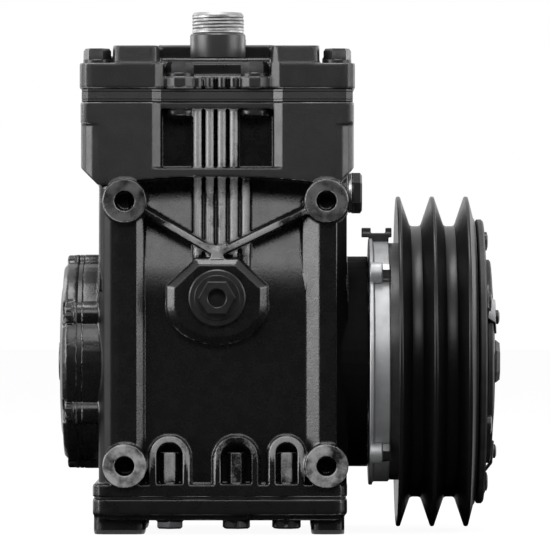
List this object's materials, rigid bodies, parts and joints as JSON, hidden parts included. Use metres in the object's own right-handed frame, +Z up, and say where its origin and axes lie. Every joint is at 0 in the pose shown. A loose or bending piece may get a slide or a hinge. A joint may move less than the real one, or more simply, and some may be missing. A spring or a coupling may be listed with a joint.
{
  "type": "reciprocating compressor",
  "caption": "Upright twin stack piston compressor with ribbed casting, side mounting bosses, flanged head with port stubs, and a grooved belt pulley on a magnetic clutch",
  "frame": {"origin": "centre of the bounding box on the plane of the feet", "axes": "+X along the crankshaft towards the clutch, +Y away from the pictured side, +Z up"},
  "size_m": [0.2036, 0.1524, 0.238],
  "materials": {
    "black_casting": "satin black paint over an aluminium casting",
    "black_pulley": "satin black paint over steel",
    "bright_zinc": "bright zinc plate",
    "machined_steel": "machined",
    "dark_steel": "black oxide steel",
    "crank_iron": "ground on the journals",
    "piston_alloy": "machined",
    "gasket_sheet": "coated fibre sheet",
    "seal_rubber": "moulded",
    "spring_steel": "polished strip",
    "coil_copper": "copper",
    "terminal_plastic": "moulded"
  },
  "bodies": {
    "casing": {"crankcase": "black_casting", "base_plate": "black_casting", "cylinder_head": "black_casting", "rear_bearing_cover": "black_casting", "field_coil_housing": "bright_zinc", "suction_fitting": "machined_steel", "discharge_fitting": "machined_steel", "rear_main_bearing": "machined_steel", "front_main_bearing": "machined_steel", "seal_plate": "machined_steel", "service_plug_washer": "machined_steel", "valve_plate": "dark_steel", "oil_plug_near": "dark_steel", "oil_plug_far": "dark_steel", "front_service_plug": "dark_steel", "head_bolt_corner_1": "dark_steel", "head_bolt_corner_2": "dark_steel", "head_bolt_corner_3": "dark_steel", "head_bolt_corner_4": "dark_steel", "head_bolt_side_1": "dark_steel", "head_bolt_side_2": "dark_steel", "head_bolt_side_3": "dark_steel", "head_bolt_side_4": "dark_steel", "base_gasket": "gasket_sheet", "valve_plate_gasket": "gasket_sheet", "head_gasket": "gasket_sheet", "rear_cover_seal": "seal_rubber", "shaft_seal": "seal_rubber", "suction_reed_front": "spring_steel", "suction_reed_rear": "spring_steel", "discharge_reed_front": "spring_steel", "discharge_reed_rear": "spring_steel", "coil_winding": "coil_copper", "coil_terminal": "terminal_plastic"},
    "crank": {"crankshaft": "crank_iron", "shaft_key": "machined_steel", "clutch_hub": "dark_steel", "hub_washer": "machined_steel", "hub_bolt": "dark_steel"},
    "pulley": {"pulley": "black_pulley", "pulley_bearing": "machined_steel", "bearing_snap_ring": "spring_steel"},
    "armature": {"armature_plate": "dark_steel"},
    "oil_way_plug_front": {"oil_way_plug_front": "machined_steel"},
    "piston_set_front": {"piston_front": "piston_alloy", "piston_ring_front": "crank_iron", "wrist_pin_front": "machined_steel", "con_rod_front": "piston_alloy", "rod_cap_front": "piston_alloy"},
    "oil_way_plug_rear": {"oil_way_plug_rear": "machined_steel"},
    "piston_set_rear": {"piston_rear": "piston_alloy", "piston_ring_rear": "crank_iron", "wrist_pin_rear": "machined_steel", "con_rod_rear": "piston_alloy", "rod_cap_rear": "piston_alloy"}
  },
  "joints": [
    {"name": "crank_turn", "type": "hinge", "parent": "casing", "child": "crank", "pos_m": [-0.02825, 0, 0.078], "axis": [1, 0, 0], "continuous": true},
    {"name": "pulley_spin", "type": "hinge", "parent": "crank", "child": "pulley", "pos_m": [0.07275, 0, 0.078], "axis": [1, 0, 0], "continuous": true},
    {"name": "clutch_engage", "type": "slide", "parent": "crank", "child": "armature", "axis": [-1, 0, 0], "range_m": [0, 0.0005], "stiffness_N_per_m": 4000},
    {"name": "oil_way_plug_front_turn", "type": "hinge", "parent": "crank", "child": "oil_way_plug_front", "pos_m": [-0.09125, 0, 0.085], "axis": [1, 0, 0], "continuous": true},
    {"name": "piston_front_stroke", "type": "hinge", "parent": "oil_way_plug_front", "child": "piston_set_front", "pos_m": [-0.00225, 0, 0.092], "axis": [1, 0, 0], "continuous": true},
    {"name": "oil_way_plug_rear_turn", "type": "hinge", "parent": "crank", "child": "oil_way_plug_rear", "pos_m": [-0.09125, 0, 0.071], "axis": [1, 0, 0], "continuous": true},
    {"name": "piston_rear_stroke", "type": "hinge", "parent": "oil_way_plug_rear", "child": "piston_set_rear", "pos_m": [-0.05425, 0, 0.064], "axis": [1, 0, 0], "continuous": true}
  ],
  "couplings": [
    {"joint": "oil_way_plug_front_turn", "follows": "crank_turn", "ratio": -2},
    {"joint": "piston_front_stroke", "follows": "crank_turn", "ratio": 1},
    {"joint": "oil_way_plug_rear_turn", "follows": "crank_turn", "ratio": -2},
    {"joint": "piston_rear_stroke", "follows": "crank_turn", "ratio": 1}
  ]
}
